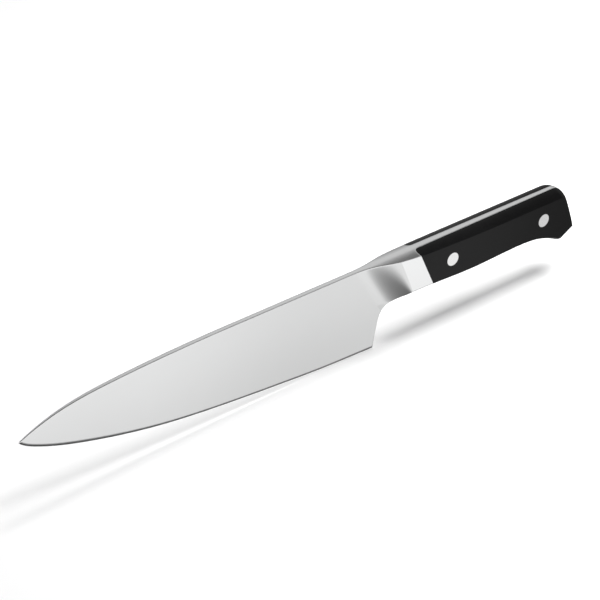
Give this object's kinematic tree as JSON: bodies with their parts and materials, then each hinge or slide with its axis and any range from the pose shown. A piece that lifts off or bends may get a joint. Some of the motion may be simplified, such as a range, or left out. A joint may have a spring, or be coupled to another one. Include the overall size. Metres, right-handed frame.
{
  "type": "chef knife",
  "caption": "Forged kitchen knife with a curved-edge blade, a hollow-ground bolster and a full-tang handle with riveted scales.",
  "frame": {"origin": "bottom centre of the knife's box: on the mirror plane, half way along the knife, level with the heel of the cutting edge", "axes": "+X from the tip to the butt along the spine, +Z from the cutting edge to the spine, +Y to the right hand of a person who holds the knife"},
  "size_m": [0.3397, 0.0166, 0.0495],
  "materials": {
    "steel": "satin, finely ground across the blade, polished facets on the bolster",
    "scale": "moulded black, low sheen",
    "rivet": "ground flush, fine satin"
  },
  "bodies": {
    "root": {"blade": "steel", "left_scale": "scale", "right_scale": "scale", "front_rivet_post": "rivet", "front_rivet_tube": "rivet", "rear_rivet_post": "rivet", "rear_rivet_tube": "rivet"}
  },
  "joints": []
}
